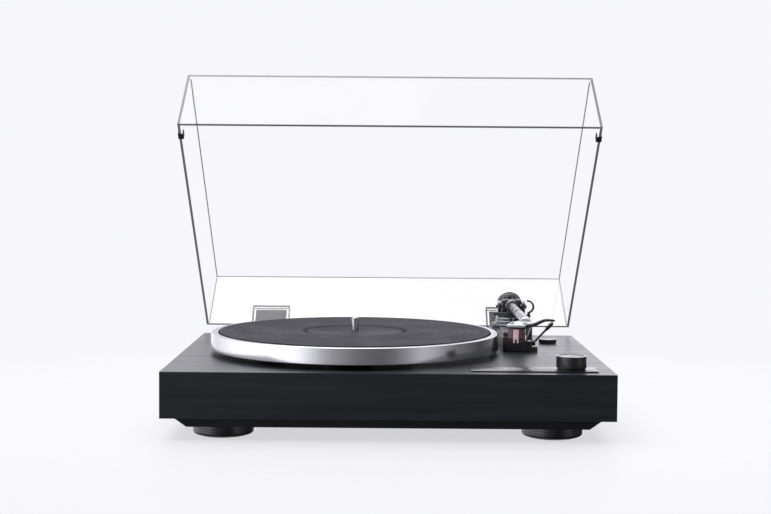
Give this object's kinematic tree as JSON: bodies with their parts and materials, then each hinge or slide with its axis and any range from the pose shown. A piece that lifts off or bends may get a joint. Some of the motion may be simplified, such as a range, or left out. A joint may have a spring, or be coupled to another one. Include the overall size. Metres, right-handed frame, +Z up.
{
  "type": "turntable record player",
  "caption": "Belt-drive turntable with a spinning platter and mat, balanced tonearm with cartridge, cue lever, speed knob and a hinged clear dust cover.",
  "frame": {"origin": "on the floor plane under the feet, at the middle of the open player's bounding box in plan", "axes": "+Z up, +X to the right seen from the front, +Y from the front edge to the hinges"},
  "size_m": [0.4352, 0.4046, 0.3583],
  "materials": {
    "black_ash": "black wood-grain veneer, satin",
    "satin_black": "fine satin moulded plastic",
    "gloss_black": "polished",
    "knob_black": "satin, brushed by turning",
    "black_lacquer": "black, semi-gloss",
    "gunmetal": "dark grey, turned and polished",
    "steel": "bright",
    "brass": "turned",
    "chrome": "polished",
    "aluminium": "turned, fine satin",
    "arm_metal": "satin tube",
    "silver_paint": "silver satin paint",
    "mat_rubber": "matt, ringed",
    "belt_rubber": "matt ground rubber",
    "pad_rubber": "soft matt",
    "red_smoke": "dark smoky red, glossy",
    "board_green": "solder-masked board",
    "clear_acrylic": "clear, polished"
  },
  "bodies": {
    "chassis": {"arm_rest": "satin_black", "bearing_housing": "brass", "bottom_tray": "satin_black", "circuit_board": "board_green", "control_strip": "satin_black", "cue_lever_base": "satin_black", "drive_belt": "belt_rubber", "foot_front_left": "gloss_black", "foot_front_right": "gloss_black", "foot_pad_front_left": "pad_rubber", "foot_pad_front_right": "pad_rubber", "foot_pad_rear_left": "pad_rubber", "foot_pad_rear_right": "pad_rubber", "foot_rear_left": "gloss_black", "foot_rear_right": "gloss_black", "ground_terminal": "chrome", "hinge_bracket_left": "satin_black", "hinge_bracket_right": "satin_black", "hinge_pin_left": "steel", "hinge_pin_right": "steel", "lift_guide": "satin_black", "motor": "steel", "phono_socket_left": "brass", "phono_socket_right": "brass", "plinth": "black_ash", "power_jack": "satin_black", "rotary_switch": "satin_black", "terminal_plate": "satin_black", "tonearm_base": "satin_black", "tonearm_collar": "gunmetal"},
    "platter": {"spindle": "chrome", "sub_platter": "satin_black", "platter": "aluminium", "platter_mat": "mat_rubber"},
    "pulley": {"motor_pulley": "brass"},
    "knob": {"speed_knob": "knob_black", "knob_shaft": "steel"},
    "arm_carrier": {"arm_yoke": "gunmetal", "pivot_screw_left": "chrome", "pivot_screw_right": "chrome"},
    "tonearm": {"pivot_block": "satin_black", "arm_tube": "arm_metal", "headshell": "silver_paint", "finger_lift": "black_lacquer", "cartridge": "red_smoke", "stylus": "satin_black"},
    "counterweight_sleeve": {"counterweight_sleeve": "satin_black"},
    "counterweight": {"counterweight": "silver_paint"},
    "force_dial": {"tracking_force_dial": "satin_black"},
    "rest_clip": {"arm_rest_clip": "satin_black"},
    "cue_lever": {"cue_lever": "black_lacquer"},
    "lift_bar": {"cue_lift_bar": "satin_black"},
    "anti_skate": {"anti_skate_dial": "knob_black"},
    "cover": {"dust_cover": "clear_acrylic", "hinge_pocket_left": "clear_acrylic", "hinge_leaf_left": "satin_black", "cover_bumper_left": "pad_rubber", "hinge_pocket_right": "clear_acrylic", "hinge_leaf_right": "satin_black", "cover_bumper_right": "pad_rubber"}
  },
  "joints": [
    {"name": "platter_spin", "type": "hinge", "parent": "chassis", "child": "platter", "pos_m": [-0.0355, -0.03604, 0.0764], "axis": [0, 0, -1], "continuous": true},
    {"name": "pulley_spin", "type": "hinge", "parent": "chassis", "child": "pulley", "pos_m": [-0.1205, 0.01596, 0.0744], "axis": [0, 0, -1], "continuous": true},
    {"name": "speed_knob_turn", "type": "hinge", "parent": "chassis", "child": "knob", "pos_m": [0.1775, -0.17054, 0.0744], "axis": [0, 0, -1], "range_deg": [-40, 40]},
    {"name": "tonearm_swing", "type": "hinge", "parent": "chassis", "child": "arm_carrier", "pos_m": [0.14, 0.07046, 0.1069], "axis": [0, 0, -1], "range_deg": [0, 41]},
    {"name": "tonearm_lift", "type": "hinge", "parent": "arm_carrier", "child": "tonearm", "pos_m": [0.14, 0.07046, 0.1069], "axis": [-1, 0, 0], "range_deg": [0, 6]},
    {"name": "counterweight_travel", "type": "slide", "parent": "tonearm", "child": "counterweight_sleeve", "axis": [0, 1, 0], "range_m": [-0.0016, 0.0031]},
    {"name": "counterweight_turn", "type": "hinge", "parent": "counterweight_sleeve", "child": "counterweight", "pos_m": [0.14, 0.10846, 0.1069], "axis": [0, 1, 0], "range_deg": [-180, 360]},
    {"name": "force_dial_turn", "type": "hinge", "parent": "counterweight", "child": "force_dial", "pos_m": [0.14, 0.09346, 0.1069], "axis": [0, 1, 0], "continuous": true},
    {"name": "rest_clip_turn", "type": "hinge", "parent": "chassis", "child": "rest_clip", "pos_m": [0.1496, -0.02154, 0.1046], "axis": [0, -1, 0], "range_deg": [0, 75]},
    {"name": "cue_lever_turn", "type": "hinge", "parent": "chassis", "child": "cue_lever", "pos_m": [0.1565, -0.02104, 0.0758], "axis": [1, 0, 0], "range_deg": [0, 70]},
    {"name": "lift_bar_slide", "type": "slide", "parent": "chassis", "child": "lift_bar", "axis": [0, 0, 1], "range_m": [-0.0031, 0]},
    {"name": "anti_skate_turn", "type": "hinge", "parent": "chassis", "child": "anti_skate", "pos_m": [0.1805, 0.05646, 0.0694], "axis": [0, 0, -1], "range_deg": [0, 300]},
    {"name": "cover_hinge", "type": "hinge", "parent": "chassis", "child": "cover", "pos_m": [0, 0.15066, 0.0483], "axis": [1, 0, 0], "range_deg": [0, 43.8]}
  ],
  "couplings": [
    {"joint": "pulley_spin", "follows": "platter_spin", "ratio": 6.4922},
    {"joint": "counterweight_travel", "follows": "counterweight_turn", "m_per_rad": 0.00047746},
    {"joint": "lift_bar_slide", "follows": "cue_lever_turn", "m_per_rad": -0.002456}
  ]
}
